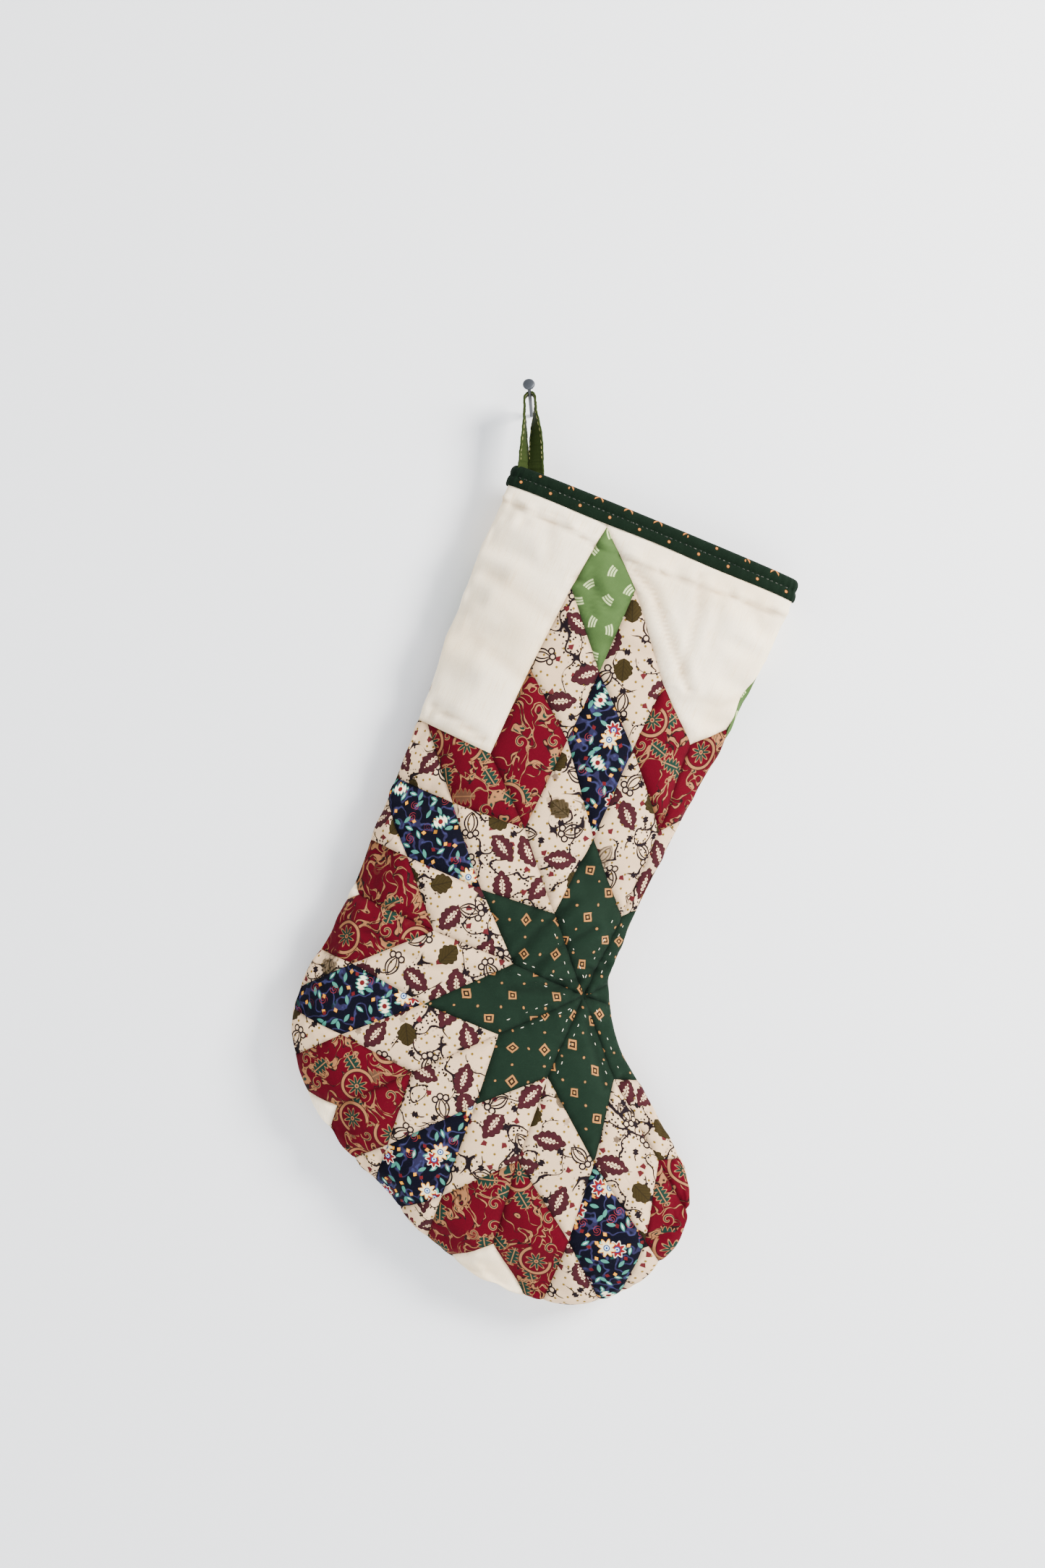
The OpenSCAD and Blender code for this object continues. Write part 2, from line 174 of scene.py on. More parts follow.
def turned(p):
    """A direction of the pattern frame in the row frame."""
    c, s = math.cos(LEAN), math.sin(LEAN)
    u, y, v = p[..., 0], p[..., 1], p[..., 2]
    return np.stack([u * c + v * s, y, -u * s + v * c], -1)


def hung(p):
    """From the pattern frame, in millimetres, to the row frame, in metres."""
    return (turned(p) + [CORNER[0], 0, CORNER[1]]) * MM


def corner(ray, i, j):
    """A corner of the front star's patches, i steps along the ray's first seam and j along its second."""
    if i and j:
        return INNER[ray][i - 1][j - 1]
    return ([STAR] + SEAMS[ray])[i] if i else ([STAR] + SEAMS[(ray + 1) % 8])[j]


def back_corner(ray, i, j):
    """The same for the regular star on the back."""
    a, b = (BACK_TURN + math.radians(45 * k) for k in (ray, ray + 1))
    return (BACK_STAR[0] + BACK_SIDE * (i * math.cos(a) + j * math.cos(b)),
            BACK_STAR[1] + BACK_SIDE * (i * math.sin(a) + j * math.sin(b)))


def diamond(where, ray, cell):
    """The outline of one patch."""
    i, j, _ = CELLS[cell]
    return [where(ray, i, j), where(ray, i + 1, j), where(ray, i + 1, j + 1), where(ray, i, j + 1)]


MUSLIN = {
    "muslin_top_left": [[corner(0, 0, 3), corner(0, 1, 3), corner(0, 2, 3), corner(0, 3, 3),
                         (58, 20), (-40, 20), corner(1, 3, 2), corner(1, 3, 1)]],
    "muslin_top_right": [[corner(0, 3, 0), corner(0, 3, 1), corner(0, 3, 2), corner(0, 3, 3),
                          (58, 20), (200, 20), (200, -60), corner(7, 1, 3)]],
    "muslin_corners": [[corner(1, 0, 3), corner(1, 1, 3), (-40, -250), corner(2, 3, 1)],
                       [corner(2, 0, 3), corner(2, 1, 3), (-20, -400), corner(3, 3, 1)],
                       [corner(3, 0, 3), corner(3, 1, 3), (150, -440), corner(4, 3, 1)]],
}


def seam_lines(polygons):
    """Each seam once, as rows of two end points."""
    seen = {}
    for poly in polygons:
        for a, b in zip(poly, poly[1:] + poly[:1]):
            a, b = sorted((tuple(a), tuple(b)))
            seen[(a, b)] = (a, b)
    return np.array(list(seen.values()), float)


FRONT_POLYS = [diamond(corner, ray, cell) for ray in range(8) for cell in range(9)]
FRONT_SEAMS = seam_lines(FRONT_POLYS + [[(58, -13), (58, 20)]])
BACK_POLYS = [diamond(back_corner, ray, cell) for ray in range(8) for cell in range(9)]
BACK_SEAMS = seam_lines(BACK_POLYS)


def near_segment(p, a, b):
    """Distance of points from a segment, and how far along it they lie."""
    d = b - a
    length = np.linalg.norm(d)
    along = ((p - a) @ d) / length
    t = np.clip(along, 0, length)
    return np.linalg.norm(p - a - t[..., None] * d / length, axis=-1), along


def relief(p, side):
    """Height of the quilted cloth over the smooth body, from its seams, puckers and creases, and its painted shade:
    darkening along the seams, in crease valleys, under the binding's ridge and in pucker valleys.
    """
    uv = p[..., [0, 2]]
    u, v = uv[..., 0], uv[..., 1]
    seams, star = (FRONT_SEAMS, STAR) if side > 0 else (BACK_SEAMS, BACK_STAR)
    nearest, pucker, folds = np.full(u.shape, 99.0), np.zeros(u.shape), np.zeros(u.shape)
    for k, (a, b) in enumerate(seams):
        d, t = near_segment(uv, a, b)
        nearest = np.minimum(nearest, d)
        strength = PUCKER + STAR_PUCKER * hill(np.linalg.norm((a + b) / 2 - np.array(star)), STAR_REACH)
        wave = np.sin(t / 1.15 + k * 1.7) + 0.7 * np.sin(t / 0.83 + k * 2.9) + 0.8 * np.sin(t / 2.1 + k * 4.1)
        fade = np.clip((v + 34) / -30, 0, 1) if k >= len(FRONT_SEAMS) - 1 else 1
        pucker += strength * wave * np.exp(-d / 4.5) * (0.35 + 0.65 * (1 - np.exp(-d / 1.5))) * fade
    puff = 0.5 + PUFF * (1 - np.exp(-nearest / PUFF_REACH)) - SEAM_DIP * hill(nearest, SEAM_WIDTH)
    # Painted shade: darker right along the seams, where the quilted cloth dips
    painted_shade = 0.7 * np.exp(-nearest / 0.7)
    crinkle = 1 + 0.6 * np.sin(u / 1.9 + 2 * np.sin(u / 7.3))
    below = v - (RIDGE_V + 2.6 * np.cos(u / 27) + 0.5 * np.sin(u / 5.1))
    ridge = 1.3 * crinkle * hill(below, 1.1) - 0.7 * hill(below + 3.0, 1.4)
    slack = 0.45 * np.sin(u / 13 + 1.5 * np.sin(v / 29)) * np.sin(v / 17 + 0.8)
    if side > 0:
        for route, width, depth in CREASES:
            pts = np.array(route, float)
            d = np.min([near_segment(uv, a, b)[0] for a, b in zip(pts, pts[1:])], axis=0)
            folds += -1.5 * depth * hill(d, width) + depth * hill(d - 2.2 * width, width)
            # Painted shade in the valley of each crease
            painted_shade += 0.8 * depth * hill(d, 0.7 * width)
        # Painted shade just below the binding's ridge
        painted_shade += 0.45 * crinkle * hill(below + 2.2, 1.2)
    # Painted shade in the valleys of the puckers near the seams
    painted_shade += np.clip(-pucker * 0.35 * np.exp(-nearest / 3), 0, 0.5)
    return puff + pucker + folds + ridge + slack, np.clip(painted_shade, 0, 1)


# ---- meshes

def quads(rows, cols, first=0, ring=True, closed=False):
    """Faces between rows of points. ring joins each row's ends, closed joins the last row to the first."""
    return [[first + (r + dr) % rows * cols + (c + dc) % cols for dr, dc in ((0, 0), (0, 1), (1, 1), (1, 0))]
            for r in range(rows if closed else rows - 1) for c in range(cols if ring else cols - 1)]


def tube(rows, sides, first=0):
    """Faces of a tube with closed ends."""
    last = first + (rows - 1) * sides
    ends = [[first + k for k in reversed(range(sides))], [last + k for k in range(sides)]]
    return quads(rows, sides, first) + ends


def in_scene(name, data):
    obj = bpy.data.objects.new(name, data)
    bpy.context.scene.collection.objects.link(obj)
    return obj


def new_object(name, points, faces, uv=None):
    """A mesh in the scene, smooth and with a UV map in millimetres of cloth where it has one."""
    mesh = bpy.data.meshes.new(name)
    mesh.from_pydata(np.asarray(points).tolist(), [], faces)
    if uv is not None:
        loops = np.zeros(len(mesh.loops), int)
        mesh.loops.foreach_get("vertex_index", loops)
        layer = mesh.uv_layers.new(name="cloth")
        layer.data.foreach_set("uv", np.asarray(uv)[loops].astype(np.float32).ravel())
        mesh.shade_smooth()
    return in_scene(name, mesh)


def face_out(obj):
    """Turns every face outward."""
    bm = bmesh.new()
    bm.from_mesh(obj.data)
    bmesh.ops.recalc_face_normals(bm, faces=bm.faces)
    bm.to_mesh(obj.data)
    bm.free()


def finish_piece(obj, body, material, nodes=()):
    """A piece's material and slot, the body it rides, unless it is blended, and the CAD nodes it replaces."""
    obj.data.materials.append(material)
    if body:
        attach(obj, body)
    if nodes:
        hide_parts(*nodes)


# ---- the cloth simulation

SIM_ROWS = 84
SIM_SIDES = 30
SIM_FRAMES = 16
SIM_END = LAST - 0.1
SIM_CAP = 3.0  # the furthest a point may move


def simulate_body():
    """Fills the sewn bag with a little air. Returns how far each point of its grid moved, in millimetres."""
    n = 2 * SIM_SIDES
    s, turn = np.meshgrid(np.linspace(0, SIM_END, SIM_ROWS + 1), np.arange(n) * 180 / SIM_SIDES, indexing="ij")
    start = base(s, turn, inset=0.5)
    faces = [face[:1] + face[:0:-1] for face in quads(SIM_ROWS + 1, n)]
    bag = new_object("bag", start.reshape(-1, 3) * MM, faces)
    held = int(SIM_ROWS * 1.1 / LAST)
    sewn = [i * n + k for i in range(SIM_ROWS + 1) for k in range(n)
            if i <= held or i == SIM_ROWS or k in (0, SIM_SIDES)]
    bag.vertex_groups.new(name="sewn").add(sewn, 1.0, "REPLACE")
    cloth = bag.modifiers.new("cloth", "CLOTH")
    for name, value in dict(vertex_group_mass="sewn", quality=6, mass=0.25, tension_stiffness=12,
                            compression_stiffness=12, shear_stiffness=6, bending_stiffness=0.25,
                            use_pressure=True, uniform_pressure_force=2.0, shrink_min=-0.035).items():
        setattr(cloth.settings, name, value)
    cloth.settings.effector_weights.gravity = 0
    cloth.collision_settings.use_collision = False
    cloth.point_cache.frame_start = 1
    cloth.point_cache.frame_end = SIM_FRAMES
    for f in range(1, SIM_FRAMES + 1):
        bpy.context.scene.frame_set(f)
    done = bag.evaluated_get(bpy.context.evaluated_depsgraph_get())
    co = np.zeros(len(done.data.vertices) * 3)
    done.data.vertices.foreach_get("co", co)
    moved = co.reshape(start.shape) / MM - start
    bpy.data.objects.remove(bag)
    bpy.context.scene.frame_set(1)
    moved[..., [0, 2]] *= 0.4
    size = np.linalg.norm(moved, axis=-1, keepdims=True)
    return moved * np.minimum(1, SIM_CAP / np.maximum(size, 1e-9))


SIM_MOVE = simulate_body()


def settled(s, turn):
    """The simulation's movement at any place, smoothly interpolated."""
    n = 2 * SIM_SIDES
    x = np.clip(s / SIM_END, 0, 1) * SIM_ROWS
    y = (turn % 360) * SIM_SIDES / 180
    xi, yi = np.floor(x).astype(int), np.floor(y).astype(int)

    def weights(t):
        return (-t + 2 * t ** 2 - t ** 3, 2 - 5 * t ** 2 + 3 * t ** 3, t + 4 * t ** 2 - 3 * t ** 3, t ** 3 - t ** 2)

    wx, wy = weights(x - xi), weights(y - yi)
    return sum((wx[a] * wy[b] / 4)[..., None] * SIM_MOVE[np.clip(xi + a - 1, 0, SIM_ROWS), (yi + b - 1) % n]
               for a in range(4) for b in range(4))


def cloth_point(s, turn, side):
    """A point of the outer cloth in the pattern frame, its outward normal and its painted shade."""
    p = base(s, turn)
    n = surface_normal(s, turn)
    seam = hill(np.sin(np.radians(turn)), 0.16)
    height, painted_shade = relief(p, side)
    under_binding = np.clip((-p[..., 2] - 10.5) / 6, 0, 1)
    height = (height * (1 - seam) - 0.5 * seam) * under_binding
    return p + settled(s, turn) + n * height[..., None], n, painted_shade


# ---- cutting the cloth

ROWS = 288
COLS = 96


def wrap(s):
    """Degrees by which the back comes round to the front at the toe side, where it shows as a thin strip."""
    return 17 * hill(s - 3.2, 1.1) + 9 * hill(s - 8.2, 1.0)


def panel_turn(s, half, side):
    """Where a panel lies round the body, for a place from 0 at the heel seam to 180 at the toe seam."""
    if side > 0:
        return half * (1 - wrap(s) / 180)
    return 360 - half * (1 + wrap(s) / 180)


def panel_grid(side):
    s, half = np.meshgrid(np.linspace(0, LAST, ROWS + 1), np.linspace(0, 180, COLS + 1), indexing="ij")
    return base(s, panel_turn(s, half, side))[..., [0, 2]]


GRID = {1: panel_grid(1), -1: panel_grid(-1)}


def convex_parts(poly):
    """The polygon as anticlockwise convex parts."""
    corners = [range(4)] if len(poly) == 4 else tessellate_polygon([[(x, y, 0) for x, y in poly]])
    parts = [[poly[i] for i in part] for part in corners]
    out = []
    for part in parts:
        area = sum(a[0] * b[1] - a[1] * b[0] for a, b in zip(part, part[1:] + part[:1]))
        out.append(part if area > 0 else part[::-1])
    return out


def clip(cell, sides):
    """Cuts one cell, whose points are (u, v, i, j), down to the inside of every side."""
    for a, normal in sides:
        kept = []
        for p, q in zip(cell, cell[1:] + cell[:1]):
            dp, dq = ((x[0] - a[0]) * normal[0] + (x[1] - a[1]) * normal[1] for x in (p, q))
            if dp >= 0:
                kept.append(p)
            if (dp >= 0) != (dq >= 0):
                t = dp / (dp - dq)
                kept.append(tuple(x + t * (y - x) for x, y in zip(p, q)))
        cell = kept
        if len(cell) < 3:
            return []
    return cell


def cut_cloth(polys, side):
    """Cells of the panel inside the polygons: grid places (i, j), and faces over them."""
    grid = GRID[side]
    places, faces, index = [], [], {}

    def at(i, j):
        key = (round(i, 4), round(j, 4))
        if key not in index:
            index[key] = len(places)
            places.append(key)
        return index[key]

    for poly in polys:
        for part in convex_parts(poly):
            sides = []
            for a, b in zip(part, part[1:] + part[:1]):
                length = math.dist(a, b)
                sides.append((a, ((a[1] - b[1]) / length, (b[0] - a[0]) / length)))
            dist = np.stack([(grid[..., 0] - a[0]) * n[0] + (grid[..., 1] - a[1]) * n[1] for a, n in sides])
            four = np.stack([dist[:, :-1, :-1], dist[:, 1:, :-1], dist[:, 1:, 1:], dist[:, :-1, 1:]])
            whole = (four >= 0).all(axis=(0, 1))
            maybe = (four.max(axis=0) > 0).all(axis=0) & ~whole
            for i, j in np.argwhere(whole):
                faces.append([at(i, j), at(i, j + 1), at(i + 1, j + 1), at(i + 1, j)])
            for i, j in np.argwhere(maybe):
                around = ((i, j), (i, j + 1), (i + 1, j + 1), (i + 1, j))
                cell = clip([(*grid[a, b], float(a), float(b)) for a, b in around], sides)
                face = list(dict.fromkeys(at(*p[2:]) for p in cell))
                if len(face) > 2:
                    faces.append(face)
    return np.array(places, float).reshape(-1, 2), faces


def shell(name, outer, inner, faces, uv):
    """A closed thin piece between two skins, with sharp borders."""
    n = len(outer)
    count = {}
    for f in faces:
        for a, b in zip(f, f[1:] + f[:1]):
            count[(a, b)] = count.get((a, b), 0) + 1
    rim = [(a, b) for (a, b) in count if (b, a) not in count]
    every = faces + [[k + n for k in reversed(f)] for f in faces] + [[b, a, a + n, b + n] for a, b in rim]
    obj = new_object(name, np.vstack([outer, inner]), every, np.vstack([uv, uv]))
    border = {frozenset(e) for e in rim} | {frozenset((a + n, b + n)) for a, b in rim}
    sharp = obj.data.attributes.new("sharp_edge", "BOOLEAN", "EDGE")
    sharp.data.foreach_set("value", [frozenset(e.vertices) in border for e in obj.data.edges])
    obj.data.validate()
    return obj


def cloth_piece(name, side, cuts, material, slot, node):
    """The cloth of one node, cut out of the front (side 1) or back (side -1) panel.

    Each cut is (polygons, grain, shift): its outline, and how its print is turned and moved.
    """
    places, faces, prints = [], [], []
    for polys, grain, shift in cuts:
        own, own_faces = cut_cloth(polys, side)
        first = sum(len(p) for p in places)
        faces += [[k + first for k in f] for f in own_faces]
        places.append(own)
        prints.append(np.tile([math.cos(grain), math.sin(grain), *shift], (len(own), 1)))
    places, prints = np.vstack(places), np.vstack(prints)
    s = places[:, 0] * LAST / ROWS
    half = places[:, 1] * 180 / COLS
    turn = panel_turn(s, half, side)
    if side > 0:
        faces = [f[::-1] for f in faces]
    p, n, painted_shade = cloth_point(s, turn, side)
    flat = base(s, turn)
    # The print runs on round the sides, by as much as the body turns in there
    heel, toe, middle = base(s, 0.0), base(s, 180.0), base(s, 90.0)
    way = (toe - heel) / np.linalg.norm(toe - heel, axis=-1, keepdims=True)
    turned_in = (np.abs(middle[:, 1]) - np.abs(flat[:, 1])) * np.sign(np.cos(np.radians(half)))
    u, v = (flat - way * turned_in[:, None])[:, [0, 2]].T
    c, sn, shift_x, shift_y = prints.T
    uv = np.stack([u * c + v * sn + shift_x, -u * sn + v * c + shift_y], -1)
    obj = shell(name, hung(p), hung(p - n * CLOTH_T), faces, uv)
    # Painted shade for each point, on both skins, which the cloth materials darken by
    shade_layer = obj.data.attributes.new("painted_shade", "FLOAT", "POINT")
    shade_layer.data.foreach_set("value", np.tile(painted_shade, 2).astype(np.float32))
    finish_piece(obj, "stocking", material, [node])


# ---- shader arithmetic

def add(tree, kind, inputs=(), **settings):
    """A new shader node with its settings, and with numbers, colours, Values or outputs on its inputs."""
    node = tree.nodes.new("ShaderNode" + kind)
    for name, value in settings.items():
        setattr(node, name, value)
    for key, item in dict(inputs).items():
        if isinstance(item, Value):
            item = item.socket
        if isinstance(item, bpy.types.NodeSocket):
            tree.links.new(item, node.inputs[key])
        else:
            node.inputs[key].default_value = item
    return node


class Value:
    """A number that varies over the cloth, used in plain arithmetic. & is the smaller and | the larger of two."""

    def __init__(self, tree, socket):
        self.tree = tree
        self.socket = socket

    def math(self, kind, *others):
        return Value(self.tree, add(self.tree, "Math", enumerate((self, *others)), operation=kind).outputs[0])

    def __neg__(self):
        return self * -1

    def less(self, edge, soft=0.15):
        """1 where the value is below edge, 0 above, with a soft change."""
        return (-self + edge).more(0, soft)

    def more(self, edge, soft=0.15):
        """1 where the value is above edge."""
        step = add(self.tree, "MapRange", {"Value": self, "From Min": edge - soft, "From Max": edge + soft},
                   interpolation_type="SMOOTHSTEP")
        return Value(self.tree, step.outputs[0])


for method, operation in {"__add__": "ADD", "__sub__": "SUBTRACT", "__mul__": "MULTIPLY", "__truediv__": "DIVIDE",
                          "__and__": "MINIMUM", "__or__": "MAXIMUM", "__abs__": "ABSOLUTE", "floor": "FLOOR",
                          "fract": "FRACT", "sin": "SINE", "cos": "COSINE", "sqrt": "SQRT"}.items():
    setattr(Value, method, lambda self, *other, kind=operation: self.math(kind, *other))


def distance(x, y):
    return (x * x + y * y).sqrt()


def polar(x, y):
    return distance(x, y), y.math("ARCTAN2", x)


def repeat(x, pitch, shift=0.0):
    """The place within its repeat, from the repeat's middle."""
    return ((x / pitch + shift).fract() - 0.5) * pitch


def linear(colour):
    """A web colour as the linear values that shaders take."""
    parts = [int(colour[k:k + 2], 16) / 255 for k in (1, 3, 5)]
    return (*((c / 12.92 if c <= 0.04045 else ((c + 0.055) / 1.055) ** 2.4) for c in parts), 1.0)


def new_material(name):
    material = bpy.data.materials.new(name)
    material.use_nodes = True
    material.node_tree.nodes.clear()
    return material


class Cloth:
    """A printed cloth being drawn: its places in millimetres, and its colour so far."""

    def __init__(self, name, colour):
        self.material = new_material(name)
        self.tree = self.material.node_tree
        uv = add(self.tree, "UVMap", uv_map="cloth")
        split = add(self.tree, "SeparateXYZ", {0: uv.outputs[0]})
        self.x, self.y = (Value(self.tree, split.outputs[k]) for k in (0, 1))
        # The painted shade of seams, creases and puckers that the cloth pieces carry, from 0 to 1
        self.painted_shade = Value(self.tree, add(self.tree, "Attribute", attribute_name="painted_shade").outputs["Fac"])
        self.colour = linear(colour)

    def vector(self, x, y):
        return add(self.tree, "CombineXYZ", {0: x, 1: y}).outputs[0]

    def noise(self, wide, tall=None, detail=1.0, offset=0.0, x=None, y=None):
        """Smooth noise from 0 to 1 whose features are about this wide and tall."""
        x, y = x or self.x, y or self.y
        place = self.vector(x / wide + offset, y / (tall or wide) + offset)
        return Value(self.tree, add(self.tree, "TexNoise", {"Vector": place, "Scale": 1.0, "Detail": detail},
                                    noise_dimensions="2D").outputs[0])

    def cells(self, size, jitter, offset=0.0, spin=True):
        """Scattered motifs: place within the motif, turned by chance, and a number by chance."""
        px, py = self.x / size + offset, self.y / size + offset * 1.7
        dots = add(self.tree, "TexVoronoi", {"Vector": self.vector(px, py), "Scale": 1.0, "Randomness": jitter},
                   voronoi_dimensions="2D")
        centre = add(self.tree, "SeparateXYZ", {0: dots.outputs["Position"]}).outputs
        chance = add(self.tree, "SeparateColor", {0: dots.outputs["Color"]}).outputs
        x, y = (px - centre[0]) * size, (py - centre[1]) * size
        if spin:
            angle = Value(self.tree, chance[0]) * math.tau
            cos, sin = angle.cos(), angle.sin()
            x, y = x * cos + y * sin, y * cos - x * sin
        return x, y, Value(self.tree, chance[1])

    def paint(self, colour, mask):
        """Lays a colour over the cloth where the mask is 1."""
        mix = add(self.tree, "Mix", data_type="RGBA", inputs={0: mask, 6: self.colour, 7: linear(colour)})
        self.colour = mix.outputs[2]

    def marks(self, depth, where, *layers):
        """Lays colours over the cloth where depth is more than each layer's own, within where."""
        for colour, level, soft in layers:
            self.paint(colour, depth.more(level, soft) & where)

    def finish(self, weave=0.42, bump=0.25, roughness=0.88, slub=0.06, fade=0.1, shade_strength=0.55):
        """Thread texture, uneven dye, painted shade from the mesh and the shader."""
        threads = (self.noise(weave, weave * 7, offset=3.1) + self.noise(weave * 7, weave, offset=8.7)) * 0.5
        fuzz = self.noise(weave * 1.6, offset=5.2, detail=2.0)
        cloud = self.noise(38, detail=3.0, offset=1.9)
        # Threads and uneven dye vary the colour, and the painted shade darkens it by shade_strength
        shade = (threads - 0.5) * (slub * 4) + (cloud - 0.5) * (fade * 2) + 1.0 - self.painted_shade * shade_strength
        tint = add(self.tree, "VectorMath", {0: self.colour, "Scale": shade}, operation="SCALE")
        dent = add(self.tree, "Bump", {"Strength": bump, "Distance": 0.0003, "Height": threads * 0.7 + fuzz * 0.3})
        shader = add(self.tree, "BsdfPrincipled", {
            "Base Color": tint.outputs[0], "Normal": dent.outputs[0], "Roughness": roughness,
            "Sheen Weight": 0.012, "Sheen Roughness": 0.5, "Specular IOR Level": 0.07})
        add(self.tree, "OutputMaterial", {0: shader.outputs[0]})
        return self.material


# ---- the printed cloths

def leaf(x, y, length, width, teeth=0.0, count=5.0):
    """How far inside a pointed leaf a place is, in millimetres."""
    t = x / length
    edge = (-(t * t) + 1.0) * width
    if teeth:
        edge = edge + abs((x * (count / length)).sin()) * teeth - teeth * 0.5
    return edge - abs(y)


def green_print():
    """Dark green with small tan squares on a lattice and dots between them."""
    c = Cloth("dark_green_print", "#112016")
    x, y = c.x + (c.noise(9, offset=2.0) - 0.5) * 2.0, c.y + (c.noise(9, offset=6.0) - 0.5) * 2.0
    qx, qy = repeat(x, 18.0), repeat(y, 18.0)
    box = abs((qx + qy) * 0.707) | abs((qx - qy) * 0.707)
    c.paint("#9a683a", box.less(2.25, 0.18))
    c.paint("#120f0c", box.less(1.4))
    c.paint("#a8783f", box.less(0.6))
    for right, up in ((0.5, 0.0), (0.0, 0.5)):
        c.paint("#9a683a", distance(repeat(x, 18.0, right), repeat(y, 18.0, up)).less(0.62, 0.2))
    return c.finish(bump=0.3, slub=0.09, fade=0.12)


def binding_print():
    """The binding's darker green, with a row of dots low down and cut squares along the fold."""
    c = Cloth("binding_green_print", "#08150b")
    px = repeat(c.x, 17.0, 0.5)
    vee = abs(abs(px) + c.y * 0.9 - 1.2)
    kind = ((c.x / 34.0).floor() * 0.43).fract()
    c.paint("#a6652d", distance(repeat(c.x, 17.0), c.y + 7.9).less(0.75, 0.2))
    c.paint("#a6652d", vee.less(0.5) & abs(px).less(2.4) & kind.more(0.4, 0.02))
    c.paint("#a6652d", distance(px, c.y + 1.3).less(0.7, 0.2) & kind.less(0.4, 0.02))
    return c.finish(bump=0.45, slub=0.1, fade=0.16)


def cream_print():
    """Cream with maroon and olive leaves, outlined buds, sprigs, hearts and olive dots."""
    ground, ink, maroon, olive = "#d2b28d", "#150d11", "#36151a", "#2d240f"
    c = Cloth("cream_floral_print", ground)
    x, y, _ = c.cells(5.6, 0.5, offset=4.4, spin=False)
    c.paint("#6f5620", distance(x, y).less(0.72, 0.2))
    line = abs(c.noise(15, offset=7.3, detail=0.6) - 0.5)
    gate = c.noise(22, offset=2.2)
    c.paint(ink, line.less(0.017, 0.005) & gate.more(0.44, 0.03))
    x, y, _ = c.cells(2.5, 0.8, offset=9.1, spin=False)
    c.paint(ink, distance(x, y).less(0.6) & line.less(0.085, 0.01) & gate.more(0.49, 0.02))
    x, y, pick = c.cells(11.5, 0.8, offset=3.7)
    heart = abs(y) * 1.1 + abs(x + abs(y) * 0.5 - 0.4)
    c.paint("#4f1a1e", heart.less(2.0, 0.2) & pick.less(0.42, 0.02))
    tulip = leaf(x, y, 2.3, 1.6, 1.0, 4.0)
    stalk = leaf(x + 3.6, y + (x * 0.6).sin() * 0.6, 4.5, 0.4)
    c.paint(ink, (tulip | stalk).more(0) & pick.more(0.42, 0.02) & pick.less(0.8, 0.02))
    x, y, pick = c.cells(19.0, 0.6, offset=1.3)
    first, third = pick.less(0.42, 0.02), pick.more(0.62, 0.02)
    second = pick.more(0.42, 0.02) & pick.less(0.62, 0.02)
    big = leaf(x, y, 9.2, 5.2, 1.0, 8.5)
    pale = leaf(x + 0.6, y, 4.6, 1.1, 1.2, 7.0)
    c.marks(big, first, ("#1f0e10", 0, 0.15), (maroon, 0.5, 0.2))
    c.paint(ground, pale.more(0) & first)
    c.paint(maroon, abs(y + (x * 1.1).sin() * 0.2).less(0.26, 0.12) & pale.more(0.6, 0.2) & first)
    whole = leaf(x, y, 6.6, 5.2, 0.9, 6.5)
    vein = abs((abs(y) * 1.5 + x * 1.3).sin()).less(0.2, 0.12) | abs(y).less(0.25, 0.12)
    c.marks(whole, second, ("#171208", 0, 0.15), (olive, 0.5, 0.2))
    c.paint("#211a0b", vein & whole.more(0.9, 0.2) & second)
    outline = abs(leaf(x + 1.5, y, 6.2, 3.9) - 0.3).less(0.5, 0.14)
    inner = abs(leaf(x + 1.5, y, 5.0, 1.8)).less(0.42, 0.14)
    c.paint(ink, (outline | inner) & third)
    for right, up in ((5.0, 0.0), (3.8, 2.9), (3.8, -2.9)):
        ring = distance(x - right, y - up)
        c.paint(ground, ring.less(1.7) & third)
        c.paint(ink, abs(ring - 1.6).less(0.46, 0.14) & third)
    return c.finish(bump=0.22, slub=0.05, fade=0.08, shade_strength=0.5)


def flower(c, x, y, deep, where, outer, edge):
    """An eight-petalled flower with an outline and a ringed eye."""
    radius = 4.2
    r, angle = polar(x, y)
    inside = ((angle * 8.0).cos() * deep + 1.0) * radius - r
    c.marks(inside, where, (edge, 0, 0.2), (outer, 0.7, 0.2))
    for colour, share, soft in (("#102b5f", 0.42, 0.15), ("#aac6e2", 0.28, 0.12), ("#102b5f", 0.13, 0.1)):
        c.paint(colour, r.less(radius * share, soft) & where)


